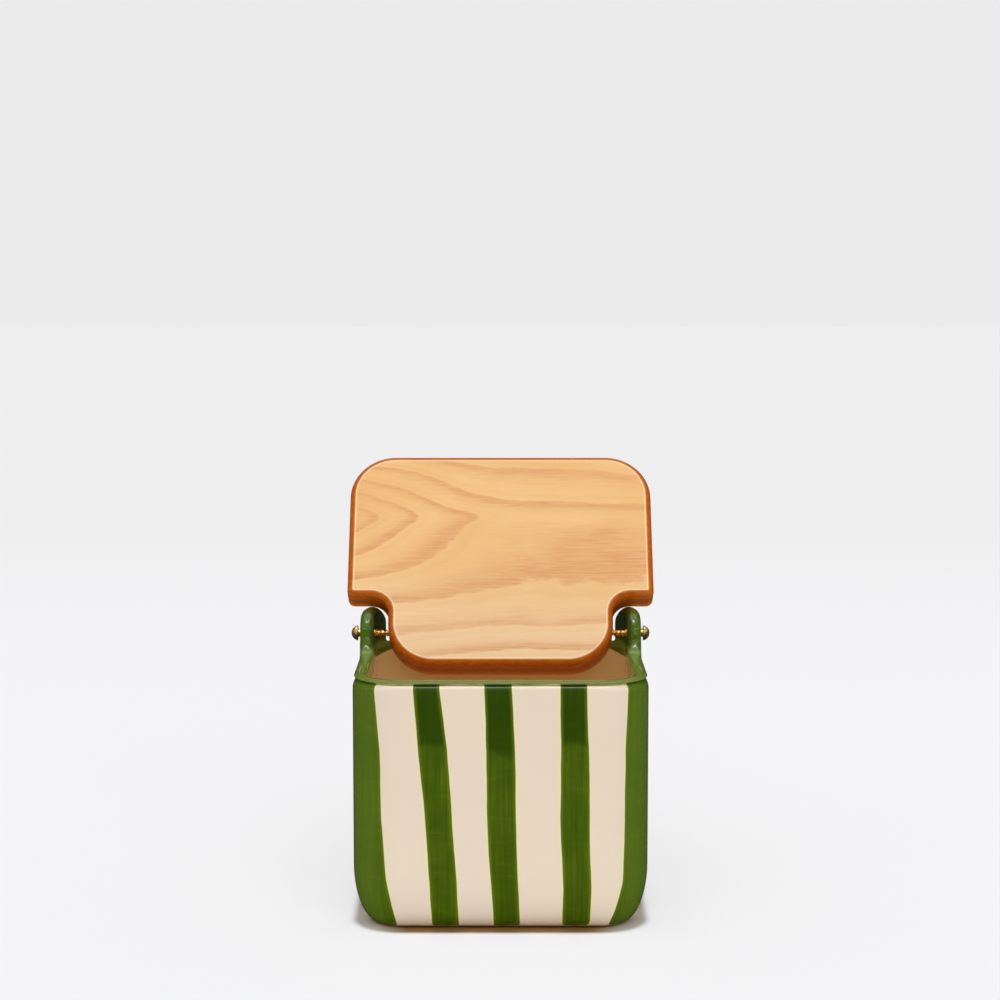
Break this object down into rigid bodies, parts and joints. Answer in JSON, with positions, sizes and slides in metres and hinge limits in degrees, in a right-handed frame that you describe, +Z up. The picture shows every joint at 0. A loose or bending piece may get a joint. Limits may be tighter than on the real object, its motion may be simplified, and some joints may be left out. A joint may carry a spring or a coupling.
{
  "type": "salt box with hinged lid",
  "caption": "Square ceramic kitchen canister with painted stripes and a pine lid that turns on two brass screws held in raised ears.",
  "frame": {"origin": "middle of the vessel's flat base, on the surface it stands on", "axes": "+Z up, the open front faces -Y, +X to the right seen from the front, parallel to the hinge"},
  "size_m": [0.1336, 0.1311, 0.1823],
  "materials": {
    "striped_glaze": "glossy cream glaze with brushed green stripes, rim and ears",
    "pine": "oiled pine, satin, darker on the edges",
    "brass": "plain turned brass"
  },
  "bodies": {
    "vessel": {"vessel": "striped_glaze"},
    "lid": {"lid": "pine", "hinge_screw_left": "brass", "hinge_screw_right": "brass"}
  },
  "joints": [
    {"name": "lid_hinge", "type": "hinge", "parent": "vessel", "child": "lid", "pos_m": [0, 0.027, 0.1098], "axis": [1, 0, 0], "range_deg": [0, 124]}
  ]
}
